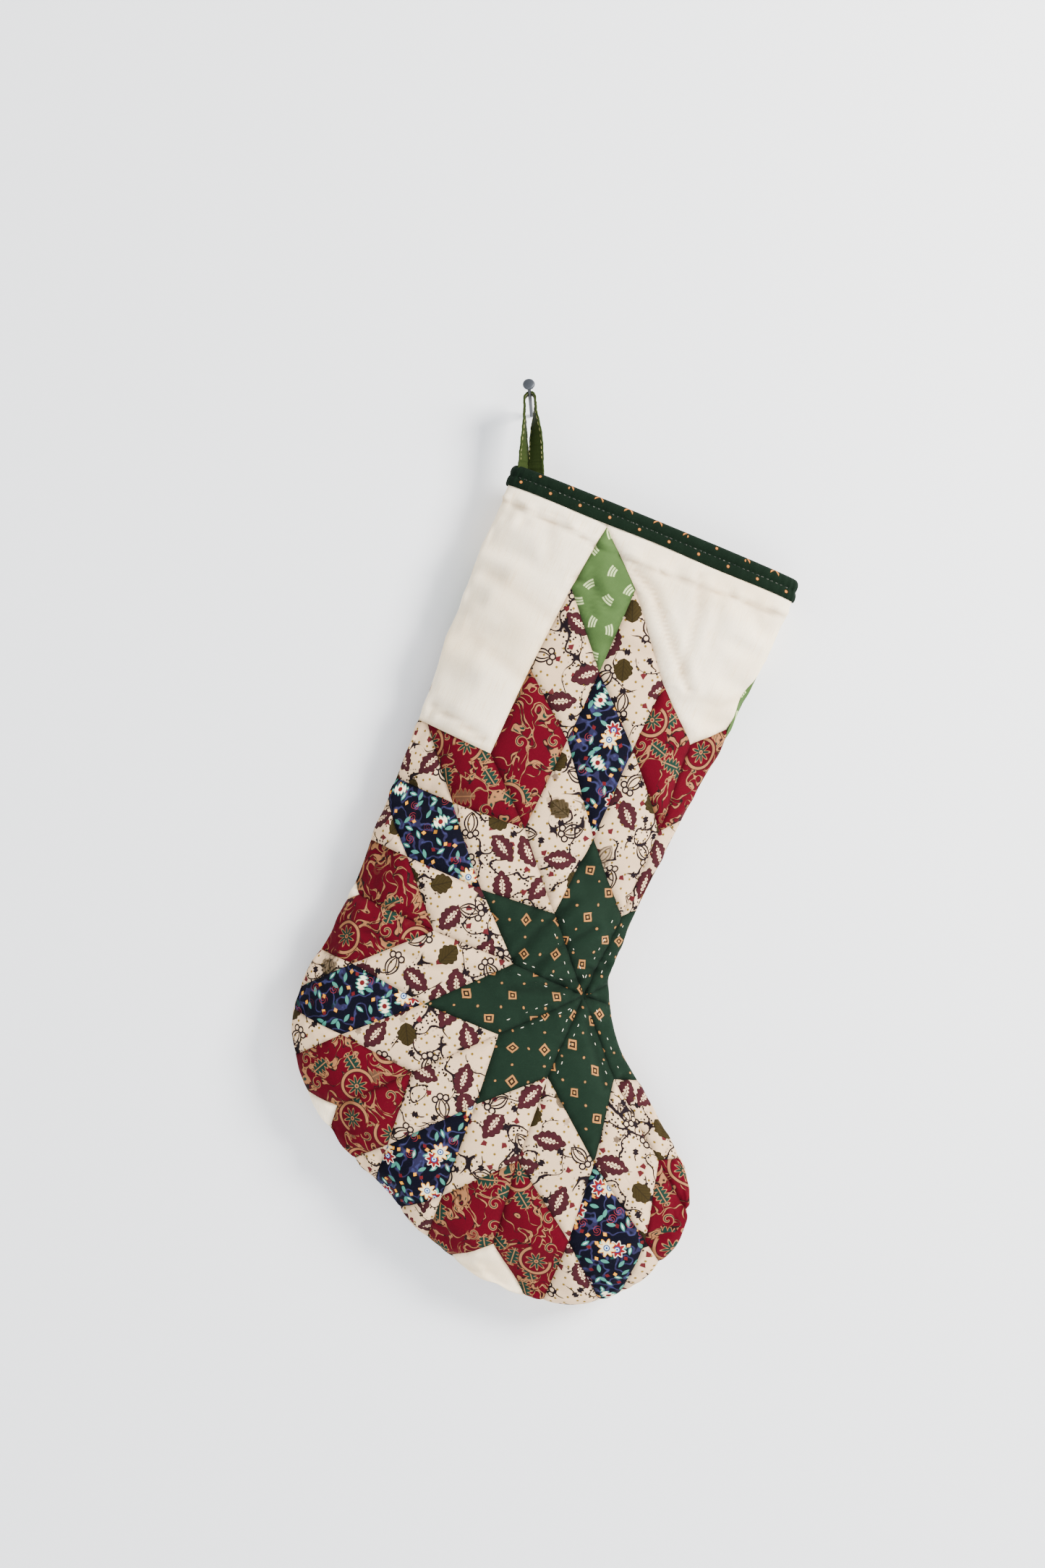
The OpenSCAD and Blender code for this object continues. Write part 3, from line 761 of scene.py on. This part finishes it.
def navy_print():
    """Navy with periwinkle scrolls, teal leaves, yellow diamonds, red bits and ringed flowers."""
    c = Cloth("navy_floral_print", "#050511")
    swirl = abs(c.noise(9, offset=4.0, detail=1.2) - 0.5)
    c.paint("#211f38", swirl.less(0.036, 0.012))
    c.paint("#2c2e50", swirl.less(0.016, 0.008) & c.noise(5, offset=1.0).more(0.5, 0.03))
    x, y, pick = c.cells(6.4, 0.85, offset=2.6)
    c.paint("#3b7869", leaf(x, y, 2.6, 1.05).more(0, 0.14) & pick.less(0.62, 0.02))
    c.paint("#c9e3d8", leaf(x, y, 1.5, 0.3).more(0, 0.1) & pick.less(0.3, 0.02))
    c.paint("#d98f1c", (abs(x) * 0.8 + abs(y)).less(1.15) & pick.more(0.7, 0.02))
    x, y, pick = c.cells(8.8, 0.85, offset=6.6)
    r, angle = polar(x, y)
    c.paint("#561518", (abs(x) + abs(y) * 0.8).less(1.2) & pick.less(0.4, 0.02))
    curl = abs((r * 2.4 + angle).sin()).less(0.3, 0.12)
    c.paint("#80262e", curl & r.less(2.6, 0.1) & pick.more(0.8, 0.02))
    x, y, pick = c.cells(27.0, 0.6, offset=5.1)
    some, crest = pick.more(0.3, 0.02), pick.less(0.3, 0.02)
    flower(c, x - 2.6, y, 0.2, some, "#6f1619", "#dccdb8")
    flower(c, x + 2.9, y + 0.8, 0.24, some, "#dccb9e", "#d6912b")
    fan = leaf(x, y, 5.2, 3.0, 1.8, 8.0)
    c.marks(fan, crest, ("#3b7869", 0, 0.15), ("#eadbbd", 0.9, 0.15))
    c.paint("#561518", distance(x, y).less(1.4) & crest)
    return c.finish(bump=0.35, slub=0.08, fade=0.1)


def red_print():
    """Crimson with tan scrolls edged in dark green, and starbursts inside tan arcs."""
    crimson, tan, dark, green = "#4b0010", "#8b5d3c", "#160b0c", "#122a22"
    c = Cloth("red_scroll_print", crimson)
    bent_x, bent_y = c.x + (c.noise(16, offset=6.0) - 0.5) * 26.0, c.y + (c.noise(16, offset=9.0) - 0.5) * 26.0
    for size, offset, width in ((17, 3.0, 0.022), (12, 8.0, 0.017)):
        line = abs(c.noise(size, offset=offset, x=bent_x, y=bent_y) - 0.5)
        swell = (c.noise(6, offset=offset + 2) - 0.46) | -0.1
        band = -line + swell * 0.13 + width
        c.paint(dark, band.more(-0.007, 0.006))
        c.paint(tan, band.more(0.008, 0.006))
        c.paint(green, (band - 0.032).more(0.008, 0.006))
    x, y, pick = c.cells(13.0, 0.8, offset=5.5)
    r, angle = polar(x, y)
    coil = r.less(3.6, 0.1) & pick.less(0.3, 0.02)
    turn = (r * 1.75 + angle).sin()
    c.paint(crimson, coil)
    c.marks(turn, coil, (tan, 0.25, 0.2), (green, 0.85, 0.12))
    plume = leaf(x, y, 7.0, 3.4, 2.4, 9.0) & (x + 6.6)
    here = pick.more(0.72, 0.02)
    c.marks(plume, here, (tan, 0, 0.2), (green, 0.75, 0.2))
    c.paint(tan, abs(y).less(0.3) & plume.more(0, 0.2) & here)
    x, y, pick = c.cells(29.0, 0.6, offset=1.1)
    r, angle = polar(x, y)
    some = pick.less(0.55, 0.02)
    c.paint(crimson, r.less(9.6, 0.2) & some)
    arc = abs(r - 8.4 + angle * 0.4)
    for colour, width in ((dark, 1.15), (tan, 0.75)):
        c.paint(colour, arc.less(width, 0.2) & abs(angle).less(2.2, 0.1) & some)
    burst = ((angle * 9.0).cos() * 0.36 + 0.9) * 5.0 - r
    c.marks(burst, some, (tan, 0, 0.25), (green, 0.9, 0.25))
    c.paint(tan, r.less(1.2, 0.2) & some)
    c.paint("#551019", r.less(0.5) & some)
    return c.finish(bump=0.35, slub=0.07, fade=0.1)


def light_green_print():
    """Light green with scattered marks of three pale arcs."""
    c = Cloth("light_green_print", "#42592f")
    x, y, _ = c.cells(13.0, 0.5, offset=2.4)
    r, angle = polar(x + 8.0, y)
    for radius in (6.6, 8.1, 9.6):
        c.paint("#b3c386", abs(r - radius).less(0.46, 0.14) & abs(angle).less(0.33, 0.03))
    return c.finish(bump=0.25, slub=0.06, fade=0.14)


def plain_cloth(name, colour, tint, weave=0.5, bump=0.3, slub=0.05, fade=0.05):
    """Undyed cloth with uneven threads, a faint stain and warm tan painted shade along its seams and creases."""
    c = Cloth(name, colour)
    c.paint(tint, (c.noise(55, offset=6.1, detail=2.0) - 0.42) * 1.6)
    c.paint(tint, c.noise(0.5, 14, offset=2.7).more(0.66, 0.06) * 0.5)
    # Warm tan painted where the painted shade is: tan painted shade along the seams, creases and pucker valleys
    c.paint("#c39a63", c.painted_shade * 0.5)
    return c.finish(weave=weave, bump=bump, slub=slub, fade=fade, shade_strength=0.3)


def thread_material(name, colour):
    """Twisted thread with paler fibres along it."""
    c = Cloth(name, colour)
    c.paint("#efe9dc", c.noise(0.25, 1.2, offset=1.0).more(0.6, 0.1) * 0.15)
    return c.finish(weave=0.2, bump=0.5, roughness=0.7, slub=0.08, fade=0.05)


PRINTS = {
    "green": (green_print(), "green_print"),
    "cream": (cream_print(), "cream_print"),
    "red": (red_print(), "red_print"),
    "navy": (navy_print(), "navy_print"),
    "tip": (light_green_print(), "light_green_print"),
    "muslin": (plain_cloth("muslin_cloth", "#f8e6c8", "#e6c999"), "muslin"),
}
LINING = plain_cloth("lining_cloth", "#e4d3b4", "#d2b88c", weave=0.55)
WADDING = plain_cloth("wadding_fluff", "#eeeae0", "#e4dccb", weave=1.4, bump=0.9, slub=0.1)
LOOP_CLOTH = plain_cloth("loop_olive_cloth", "#283214", "#1f280c", weave=0.35, bump=0.4, slub=0.1, fade=0.12)
BINDING_CLOTH = binding_print()
DARK_THREAD = thread_material("dark_topstitching", "#08150e")
PALE_THREAD = thread_material("pale_quilting_thread", "#eae0c8")
LOOP_THREAD = thread_material("loop_topstitching", "#938d57")


# ---- front and back panels

def make_front():
    for ray in range(8):
        for cell in OWN_CELLS[ray]:
            name = f"{RAYS[ray]}_{CELLS[cell][2]}"
            cloth = CELLS[cell][2].split("_")[0]
            grain = math.radians(65 + 45 * ray + (90 if cell % 2 else 0))
            shift = ((ray * 37 + cell * 53) % 90, (ray * 61 + cell * 29) % 90)
            cut = ([diamond(corner, ray, cell)], grain, shift)
            cloth_piece("cloth_" + name, 1, [cut], *PRINTS[cloth], name)
    slivers = [([diamond(corner, ray, cell)], ray + 0.6, (20 + 31 * ray, 70 - 17 * cell))
               for ray in range(1, 5) for cell in (6, 7)]
    cloth_piece("cloth_edge_creams", 1, slivers, *PRINTS["cream"], "edge_creams")
    for name, polys in MUSLIN.items():
        cloth_piece("cloth_" + name, 1, [(polys, 0.0, (0, 0))], *PRINTS["muslin"], name)


def make_back():
    for node, cloth, cells in (("back_green", "green", [0]), ("back_cream", "cream", [1, 2, 6, 7]),
                               ("back_red", "red", [3, 5]), ("back_navy", "navy", [4]), ("back_tips", "tip", [8])):
        cuts = [([diamond(back_corner, ray, cell)], math.radians(20 + 45 * ray),
                 ((ray * 41 + cell * 31) % 80, (ray * 23 + cell * 67) % 80))
                for ray in range(8) for cell in cells]
        cloth_piece("cloth_" + node, -1, cuts, *PRINTS[cloth], node)
    # Outside the star, in two triangles for each notch between its tips
    corners = []
    for ray in range(8):
        tip, seam, after = back_corner(ray, 3, 3), back_corner(ray, 0, 3), back_corner((ray + 1) % 8, 3, 3)
        far = tuple(2.6 * (seam[k] - BACK_STAR[k]) + BACK_STAR[k] for k in (0, 1))
        corners += [[seam, tip, far], [seam, far, after]]
    cloth_piece("cloth_back_muslin", -1, [(corners, 0.0, (7, 3))], *PRINTS["muslin"], "back_muslin")


# ---- wadding, lining, binding

INNER_ROWS = 96
INNER_COLS = 60
BIND_STEPS = 260
STITCH_V = -5.8  # height of the binding's topstitching


def inner_panel(which, layer, outer, inner, top, material, wave):
    """A layer inside the cloth, from its outer to its inner face, as deep as the toe."""
    side = 1 if which == "front" else -1
    s, t = np.meshgrid(np.linspace(0, LAST - outer * 0.06, INNER_ROWS + 1), np.linspace(0, 180, INNER_COLS + 1),
                       indexing="ij")
    turn = t if side > 0 else 360 - t
    skins = []
    for inset in (outer, inner):
        p = base(s, turn, inset) + settled(s, turn)
        p[..., 1] += side * 0.05
        # Held inside the binding at the mouth, and slack below it
        loose = np.clip((-p[..., 2] - 14) / 20, 0, 1)
        ripple = wave * np.sin(p[..., 0] / 9 + 1.1 * np.sin(p[..., 2] / 23)) * np.sin(np.radians(t)) ** 2
        p[..., 1] += side * (ripple * loose - 0.35 * (1 - loose))
        p[..., 1] = np.minimum(p[..., 1], -0.02) if side > 0 else np.maximum(p[..., 1], 0.02)
        p[..., 2] = np.minimum(p[..., 2], top)
        skins.append(p.reshape(-1, 3))
    faces = quads(INNER_ROWS + 1, INNER_COLS + 1, ring=False)
    if side > 0:
        faces = [f[::-1] for f in faces]
    node = f"{which}_{layer}"
    obj = shell("soft_" + node, hung(skins[0]), hung(skins[1]), faces, skins[0][:, [0, 2]])
    finish_piece(obj, "stocking", material, [node])
    return obj


def make_inside():
    for which in ("front", "back"):
        pad = inner_panel(which, "batting", 2.2, 3.9, -1.5, WADDING, 0.0)
        lining = inner_panel(which, "lining", 4.1, 4.7, -2.6, LINING, 0.35)


def binding_frame(turn, v):
    """A point of the body's skin at a height near the mouth, and its level outward direction."""
    s = np.clip(-v / 15.0, 0, 1)
    p, n = base(s, turn), surface_normal(s, turn)
    n[2] = 0
    return p, n / np.linalg.norm(n)


def make_binding():
    """The folded strip round the mouth: an outer face, a soft top and an inner face, as one closed ring."""
    # Distance out from the skin, and height
    outer = [(0.25, -10.9), (0.5, -11.7), (1.1, -11.6), (1.6, -10.6), (1.75, -8.4), (1.5, -6.8), (0.75, -5.8),
             (1.5, -4.8), (1.8, -3.0), (1.4, -1.2), (0.4, 0.1), (-1.2, 0.7), (-3.2, 0.5), (-4.6, -0.6),
             (-5.1, -2.4), (-5.0, -8.8), (-4.8, -10.0)]
    inner = [(-4.2, -9.9), (-4.3, -2.6), (-3.6, -1.2), (-2.2, -0.7), (-0.8, -1.0), (0.0, -2.0)]
    profile = outer + inner
    points, uv, length, here = [], [], 0.0, base(0.0, 0.0)
    for angle in np.linspace(0, 360, BIND_STEPS, endpoint=False):
        wobble = 0.28 * math.sin(angle * 0.9) + 0.2 * math.sin(angle * 2.3 + 1)
        before, here = here, base(0.0, angle)
        length += np.linalg.norm(here - before)
        for m, (off, v) in enumerate(profile):
            p, n = binding_frame(angle, v)
            p[2] = v + (0.25 * math.sin(length / 11) if m < 4 else 0)
            gather = 0.22 * math.sin(length * 1.9) * math.exp(-abs(v - STITCH_V) / 2.0) if m < 10 else 0
            p += n * (off + (wobble * 0.5 if off > 0 else 0) + gather)
            if off < -1 and angle != 180:
                p[1] = min(p[1], -0.05) if angle < 180 else max(p[1], 0.05)
            points.append(p)
            uv.append((length, v if m < 11 else 1.5 * m - 15))
    faces = quads(BIND_STEPS, len(profile), closed=True)
    obj = new_object("cloth_binding", hung(np.array(points)), faces, uv)
    smooth = obj.modifiers.new("round", "SUBSURF")
    smooth.levels = smooth.render_levels = 1
    bpy.context.view_layer.update()
    rounded = obj.evaluated_get(bpy.context.evaluated_depsgraph_get())
    mesh = bpy.data.meshes.new_from_object(rounded)
    obj.modifiers.clear()
    obj.data = mesh
    face_out(obj)
    finish_piece(obj, "stocking", BINDING_CLOTH, ["binding"])


# ---- thread

def stitches(name, ends, radius, material, nodes, body="stocking", sag=0.25):
    """Short rounded stitches between pairs of points, each dipping into the cloth at its ends."""
    verts, faces = [], []
    rings, sides = 7, 6
    for a, b, n in ends:
        faces += tube(rings, sides, len(verts))
        way = (b - a) / max(np.linalg.norm(b - a), 1e-9)
        across = np.cross(way, n)
        for k in range(rings):
            t = k / (rings - 1)
            bulge = math.sin(math.pi * t)
            mid = a + (b - a) * t + n * (bulge * sag - sag * 0.6) * MM
            thick = radius * (0.35 + 0.65 * bulge ** 0.5) * MM
            verts += [mid + thick * (across * math.cos(angle) + n * math.sin(angle))
                      for angle in (math.tau * j / sides for j in range(sides))]
    obj = new_object(name, verts, faces, np.array(verts)[:, [0, 2]] / MM)
    face_out(obj)
    finish_piece(obj, body, material, nodes)
    return obj


def front_point(u, v):
    """The cloth of the front at a place of the pattern, and its outward direction."""
    at = np.array([u, v])
    gap = np.sum((GRID[1] - at) ** 2, axis=-1)
    i, j = np.unravel_index(np.argmin(gap), gap.shape)
    s = i * LAST / ROWS
    p, n, _ = cloth_point(s, panel_turn(s, j * 180 / COLS, 1), 1)
    p[[0, 2]] += at - GRID[1][i, j]
    return p, n


def binding_point(at, side):
    """The bottom of the binding's stitched groove, this far along the front (side 1) or back (side -1)."""
    angle = math.degrees(math.acos(1 - 2 * at / 164))
    p, n = binding_frame(angle if side > 0 else 360 - angle, -5.7)
    p = p + n * 0.9
    p[2] = STITCH_V
    return p, n


def make_threads():
    def stitch(start, end):
        return hung(start[0]), hung(end[0]), turned(start[1])

    marks = np.linspace(4, 160, 57)
    ends = [stitch(binding_point(a + 0.35, side), binding_point(b - 0.35, side))
            for side in (1, -1) for a, b in zip(marks[:-1], marks[1:])]
    stitches("thread_binding", ends, 0.34, DARK_THREAD, ["binding_thread"])
    # Quilting either side of six of the star's seams, with some stitches missing
    ends = []
    for k in range(6):
        way = np.array([math.cos(math.radians(88 + 45 * k)), math.sin(math.radians(88 + 45 * k))])
        for side in (-1, 1):
            across = side * 3.4 * np.array([-way[1], way[0]])
            for i in range(7):
                if (i * 5 + k * 3 + side) % 7 <= 4:
                    start = 9 + 5.4 * i
                    ends.append(stitch(*(front_point(*(STAR + step * way + across)) for step in (start, start + 1.9))))
    stitches("thread_quilting", ends, 0.2, PALE_THREAD, ["quilting_thread"])


# ---- the loop

BEND_R = 2.9
BEND_Z = -2.3
# The strip's middle line: across, up, and the turn of its width, where 90 is edge on to the front
LEFT_LIMB = [(-3.2, -36.4, 56), (-3.2, -33, 60), (-3.1, -28, 66), (-3.0, -22, 74), (-2.95, -16, 82),
             (-2.9, -10, 88), (-2.9, -5, 90)]
RIGHT_LIMB = [(2.9, -5, 91), (2.95, -10, 98), (3.1, -16, 116), (3.3, -22, 130), (3.4, -28, 138),
              (3.4, -33, 142), (3.3, -36.4, 144)]
LEFT_TAIL = [(-3.2, -36.4, 56), (-3.1, -39, 50), (-3.0, -42, 44), (-3.0, -46, 40)]
RIGHT_TAIL = [(3.3, -36.4, 144), (3.2, -39, 150), (3.1, -42, 156), (3.1, -46, 160)]
# Half of its section, 10 mm wide with folded edges, and the places of the stitching on it
SECTION = [(-5.0, 0.0), (-4.9, 0.42), (-4.4, 0.6), (-3.8, 0.46), (-2.0, 0.62), (0, 0.66), (2.0, 0.62),
           (3.8, 0.46), (4.4, 0.6), (4.9, 0.42), (5.0, 0.0)]
TRACKS = [(-4.1, 0.52), (-4.1, -0.52), (4.1, 0.52), (4.1, -0.52)]
STITCH_STEPS = 4


def strip(name, routes, steps):
    """A folded strip of cloth swept along each route, and the points of its stitching at each step."""
    section = SECTION + [(x, -y) for x, y in reversed(SECTION[1:-1])]
    verts, faces, uv, tracks = [], [], [], []
    for route in routes:
        faces += tube(steps, len(section), len(verts))
        line = through(np.array(route, float), np.linspace(0, len(route) - 1, steps))
        centre = np.stack([line[:, 0], np.zeros(steps), line[:, 1]], -1)
        tangent = np.gradient(centre, axis=0)
        tangent /= np.linalg.norm(tangent, axis=1, keepdims=True)
        run, before = 0.0, centre[0]
        for p, way, turn in zip(centre, tangent, np.radians(line[:, 2])):
            wide = np.array([math.cos(turn), math.sin(turn), 0])
            wide -= way * (wide @ way)
            wide /= np.linalg.norm(wide)
            face = np.cross(wide, way)
            run += np.linalg.norm(p - before)
            before = p
            ripple = 0.12 * math.sin(run * 0.9) + 0.08 * math.sin(run * 2.3)
            verts += [(p + wide * x + face * (y + ripple)) * MM for x, y in section]
            uv += [(x, run) for x, y in section]
            tracks.append([((p + wide * x + face * (y + ripple)) * MM, face * np.sign(y)) for x, y in TRACKS])
    obj = new_object(name, verts, faces, uv)
    face_out(obj)
    return obj, tracks


def make_loop():
    bend = [(BEND_R * math.cos(a), BEND_R * math.sin(a) + BEND_Z, 90)
            for a in np.radians([180, 150, 120, 90, 60, 30, 0])]
    loop, tracks = strip("cloth_loop", [LEFT_LIMB + bend + RIGHT_LIMB], 150)
    finish_piece(loop, None, LOOP_CLOTH, ["loop", "loop_neck"])
    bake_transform(loop)
    tails, _ = strip("cloth_loop_tails", [LEFT_TAIL, RIGHT_TAIL], 24)
    finish_piece(tails, None, LOOP_CLOTH, ["loop_tails"])
    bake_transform(tails)
    ends = [(tracks[k][t][0], tracks[k + STITCH_STEPS - 1][t][0], tracks[k][t][1])
            for t in range(len(TRACKS)) for k in range(2, len(tracks) - STITCH_STEPS, STITCH_STEPS)]
    thread = stitches("thread_loop", ends, 0.17, LOOP_THREAD, [], body=None, sag=0.15)
    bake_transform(thread)


# ---- the stage

WALL_Y = 19.0
FLOOR_Z = -1.6
FRAME_HEIGHT = 0.840  # metres of wall that the camera sees from top to bottom


def one_sided(name, colour):
    """A wall paint that is clear from behind, so that the object's back can be looked at and lit."""
    material = new_material(name)
    tree = material.node_tree
    grain = add(tree, "TexNoise", {"Scale": 90, "Detail": 4})
    cloud = add(tree, "TexNoise", {"Scale": 2.2})
    bump = add(tree, "Bump", {"Strength": 0.12, "Distance": 0.001, "Height": grain.outputs[0]})
    tint = add(tree, "Mix", {0: cloud.outputs[0], 6: linear(colour), 7: linear("#eff0f3")}, data_type="RGBA")
    paint = add(tree, "BsdfPrincipled", {"Base Color": tint.outputs[2], "Normal": bump.outputs[0],
                                         "Roughness": 0.9, "Specular IOR Level": 0.2})
    either = add(tree, "Math", {0: add(tree, "NewGeometry").outputs["Backfacing"],
                                1: add(tree, "LightPath").outputs["Is Shadow Ray"]}, operation="MAXIMUM")
    clear = add(tree, "BsdfTransparent")
    choose = add(tree, "MixShader", {0: either.outputs[0], 1: paint.outputs[0], 2: clear.outputs[0]})
    add(tree, "OutputMaterial", {0: choose.outputs[0]})
    return material


def make_nail():
    """The nail that the stocking hangs on, which isn't part of the object."""
    steel = new_material("nail_steel")
    shader = add(steel.node_tree, "BsdfPrincipled",
                 {"Base Color": linear("#3d4045"), "Metallic": 0.6, "Roughness": 0.5})
    add(steel.node_tree, "OutputMaterial", {0: shader.outputs[0]})
    # Place along the nail, and radius
    profile = [(-13.6, 0.0), (-13.6, 2.4), (-13.2, 3.1), (-12.5, 3.3), (-11.9, 3.1), (-11.6, 1.6), (-11.0, 0.95),
               (WALL_Y + 1, 0.95)]
    sides = 32
    verts = [(radius * math.cos(a) * MM, along * MM, radius * math.sin(a) * MM)
             for along, radius in profile for a in (math.tau * k / sides for k in range(sides))]
    nail = new_object("nail", verts, quads(len(profile), sides))
    nail.data.materials.append(steel)
    nail.data.shade_smooth()
    face_out(nail)
    nail.rotation_euler = (math.radians(-21), 0, math.radians(-3))
    nail.location = (0, 0, -1.1 * MM)


def make_stage():
    y, z = WALL_Y * MM, FLOOR_Z
    for name, colour, corners in (
            ("wall", "#f6f6f4", [(-3, y, z), (3, y, z), (3, y, 2.2), (-3, y, 2.2)]),
            ("floor", "#dcdcdc", [(-3, -4, z), (3, -4, z), (3, y, z), (-3, y, z)])):
        plane = new_object(name, corners, [(0, 1, 2, 3)])
        plane.data.materials.append(one_sided(name + "_paint", colour))
    make_nail()
    for name, place, aim_z, size, power, colour in (
            ("window", (1.35, -1.0, 0.45), -0.25, (0.6, 0.7), 104, (1.0, 0.985, 0.965)),
            ("room", (-1.5, -1.7, 0.2), -0.25, (1.8, 1.8), 25, (0.95, 0.97, 1.0)),
            ("behind", (-0.6, 1.9, 0.6), -0.25, (1.6, 1.6), 40, (1.0, 1.0, 1.0)),
            ("low_window", (0.5, -1.6, -1.3), -0.3, (2.0, 1.0), 27, (0.92, 0.95, 1.0))):
        light = bpy.data.lights.new(name, "AREA")
        light.shape = "RECTANGLE"
        light.size, light.size_y = size
        light.energy = power
        light.color = colour
        lamp = in_scene(name, light)
        lamp.location = place
        lamp.rotation_euler = (Vector((0, 0, aim_z)) - Vector(place)).to_track_quat("-Z", "Y").to_euler()
    world = bpy.data.worlds.new("soft_room")
    world.use_nodes = True
    sky = world.node_tree.nodes["Background"]
    sky.inputs[0].default_value = (0.86, 0.9, 0.95, 1)
    sky.inputs[1].default_value = 0.96
    bpy.context.scene.world = world


def make_camera():
    """Level with the middle of the stocking, and square to the wall."""
    data = bpy.data.cameras.new("camera")
    data.lens = 50
    data.sensor_width = 36
    data.sensor_fit = "AUTO"
    camera = in_scene("camera", data)
    camera.location = (-0.004, -FRAME_HEIGHT * data.lens / data.sensor_width - 0.010, -0.2104)
    camera.rotation_euler = (math.radians(90), 0, 0)
    bpy.context.scene.camera = camera


make_camera()
make_front()
make_back()
make_inside()
make_binding()
make_threads()
make_loop()
make_stage()
